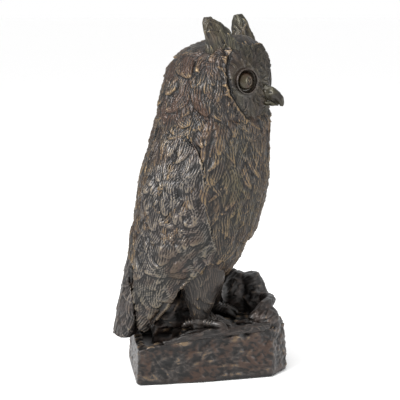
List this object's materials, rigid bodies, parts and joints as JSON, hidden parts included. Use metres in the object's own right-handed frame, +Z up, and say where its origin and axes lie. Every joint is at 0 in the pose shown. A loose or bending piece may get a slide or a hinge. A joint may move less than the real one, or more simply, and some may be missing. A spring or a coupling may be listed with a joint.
{
  "type": "owl figurine",
  "caption": "Cast bronze horned owl standing on a rough rock base, head turned to its right, dark brown patina, felt underneath.",
  "frame": {"origin": "centre of the underside of the felt, on the surface that the figure stands on", "axes": "+Z up; the owl's breast faces -Y and its right side is towards -X"},
  "size_m": [0.1078, 0.156, 0.3198],
  "materials": {
    "feather_bronze": "dark brown patina on cast bronze, waxed, satin, rubbed gold on the edges",
    "wing_bronze": "near-black patina with a grey sheen on raised barbs, waxed",
    "eye_bronze": "polished olive-gold bronze under wax",
    "ring_bronze": "smooth turned ring, dark with a rubbed edge",
    "beak_bronze": "smooth olive-brown patina, waxed",
    "claw_bronze": "smooth near-black patina, waxed",
    "rock_bronze": "black-brown patina with rust-brown patches, waxed",
    "dowel_bronze": "bare drawn bronze rod",
    "steel": "bare zinc-plated steel",
    "felt": "dark pressed wool felt"
  },
  "bodies": {
    "root": {"body_casting": "feather_bronze", "head_casting": "feather_bronze", "right_ear_tuft": "feather_bronze", "left_ear_tuft": "feather_bronze", "right_eye": "eye_bronze", "left_eye": "eye_bronze", "right_eye_ring": "ring_bronze", "left_eye_ring": "ring_bronze", "beak": "beak_bronze", "right_wing": "wing_bronze", "left_wing": "wing_bronze", "tail": "wing_bronze", "right_leg": "feather_bronze", "left_leg": "feather_bronze", "right_foot": "claw_bronze", "left_foot": "claw_bronze", "rock_base": "rock_bronze", "boulder": "rock_bronze", "far_stone": "rock_bronze", "rear_stone": "rock_bronze", "front_stone": "rock_bronze", "root_ridge": "rock_bronze", "foot_studs": "steel", "stud_washers": "steel", "stud_nuts": "steel", "base_plate": "steel", "base_plate_screws": "steel", "neck_pins": "dowel_bronze", "wing_pins": "dowel_bronze", "core_plugs": "dowel_bronze", "felt_pad": "felt"}
  },
  "joints": []
}
